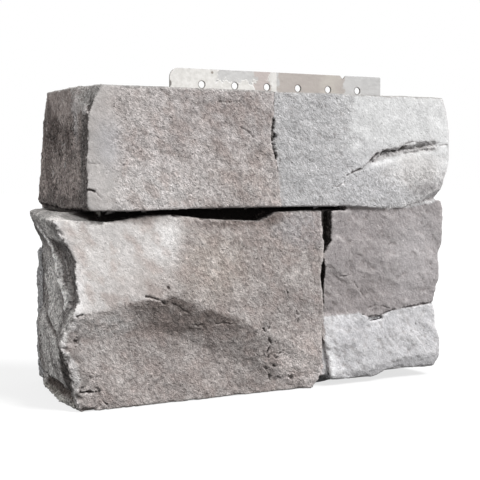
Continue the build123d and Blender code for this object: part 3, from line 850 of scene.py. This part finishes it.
colour = mixed(tree, times(tree, ring, 0.8), colour, HOLE_RIM_SHADE)
tree.links.new(colour, shader.inputs["Base Color"])
tree.links.new(remapped(tree, film, 0.0, 1.0, 0.85, 0.0), shader.inputs["Metallic"])
tree.links.new(remapped(tree, film, 0.0, 1.0, 0.5, 0.9), shader.inputs["Roughness"])
bump = node(tree, "Bump", {"Strength": 0.5, "Distance": 0.0003, "Height": reckoned(tree, "ADD", film, drips)})
tree.links.new(bump.outputs["Normal"], shader.inputs["Normal"])
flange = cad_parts["nailing_flange"]
flange.data.materials.clear()
flange.data.materials.append(zinc)

# The stage
# A plain pale floor that the camera sees as white but for the object's shadow, a soft sky, a broad key
# lamp from the upper right of the front, and a weaker fill lamp from the left.
FLOOR_HALF_SIZE = 6.0
FLOOR_DROP = 0.0001
FLOOR_FOR_LIGHT = (0.15, 0.15, 0.15, 1)
FLOOR_FOR_CAMERA = (0.22, 0.22, 0.22, 1)
FLOOR_GLOW = 0.74
SKY_STRENGTH = 0.42
CAMERA_PLACE = (-0.2534, -0.6579, 0.1497)
CAMERA_YAW = 27.07
CAMERA_PITCH = -3.76
CAMERA_LENS = 78.55
floor_shape = bmesh.new()
bmesh.ops.create_grid(floor_shape, x_segments=1, y_segments=1, size=FLOOR_HALF_SIZE,
                      matrix=Matrix.Translation((0, 0, -FLOOR_DROP)))
floor_mesh = bpy.data.meshes.new("floor")
floor_shape.to_mesh(floor_mesh)
floor_shape.free()
floor = as_object("floor", floor_mesh)
floor_finish, tree, shader = new_finish("floor_white")
tree.nodes.remove(shader)
for_light = node(tree, "BsdfDiffuse", {"Color": FLOOR_FOR_LIGHT})
for_camera = node(tree, "BsdfDiffuse", {"Color": FLOOR_FOR_CAMERA})
glow = node(tree, "Emission", {"Strength": FLOOR_GLOW})
lifted = node(tree, "AddShader", {0: for_camera.outputs[0], 1: glow.outputs[0]})
seen = node(tree, "LightPath")
floor_mix = node(tree, "MixShader", {0: seen.outputs["Is Camera Ray"], 1: for_light.outputs[0],
                                     2: lifted.outputs[0]})
tree.links.new(floor_mix.outputs[0], tree.nodes["Material Output"].inputs["Surface"])
floor_mesh.materials.append(floor_finish)

world = bpy.data.worlds.new("studio")
bpy.context.scene.world = world
world.use_nodes = True
tree = world.node_tree
sky = tree.nodes["Background"]
sky.inputs["Strength"].default_value = SKY_STRENGTH
sky.inputs["Color"].default_value = (1, 1, 1, 1)
backdrop = node(tree, "Background", {"Color": (1, 1, 1, 1), "Strength": 1.0})
seen = node(tree, "LightPath")
directly = reckoned(tree, "MAXIMUM", seen.outputs["Is Camera Ray"], seen.outputs["Is Glossy Ray"])
directly = reckoned(tree, "MAXIMUM", directly, seen.outputs["Is Transmission Ray"])
pick = node(tree, "MixShader", {0: directly, 1: sky.outputs[0], 2: backdrop.outputs[0]})
tree.links.new(pick.outputs[0], tree.nodes["World Output"].inputs["Surface"])


def sunlight(name, azimuth, elevation, angle, strength):
    """A far soft lamp: azimuth to the right of straight in front, in degrees."""
    lamp = bpy.data.lights.new(name, "SUN")
    lamp.energy = strength
    lamp.angle = np.radians(angle)
    made = bpy.data.objects.new(name, lamp)
    a, e = np.radians(azimuth), np.radians(elevation)
    source = Vector((np.sin(a) * np.cos(e), -np.cos(a) * np.cos(e), np.sin(e)))
    made.rotation_euler = source.to_track_quat("Z", "Y").to_euler()
    made.location = source * 2
    bpy.context.scene.collection.objects.link(made)


sunlight("key", azimuth=30, elevation=50, angle=20, strength=4.0)
sunlight("fill", azimuth=-100, elevation=45, angle=25, strength=1.3)

camera_data = bpy.data.cameras.new("camera")
camera_data.lens = CAMERA_LENS
camera_data.sensor_width = 36.0
camera_data.clip_start = 0.05
camera = as_object("camera", camera_data)
camera.location = CAMERA_PLACE
yaw, pitch = np.radians(CAMERA_YAW), np.radians(CAMERA_PITCH)
look = Vector((np.sin(yaw) * np.cos(pitch), np.cos(yaw) * np.cos(pitch), np.sin(pitch)))
camera.rotation_euler = look.to_track_quat("-Z", "Y").to_euler()
bpy.context.scene.camera = camera
bpy.context.scene.view_settings.view_transform = "Standard"
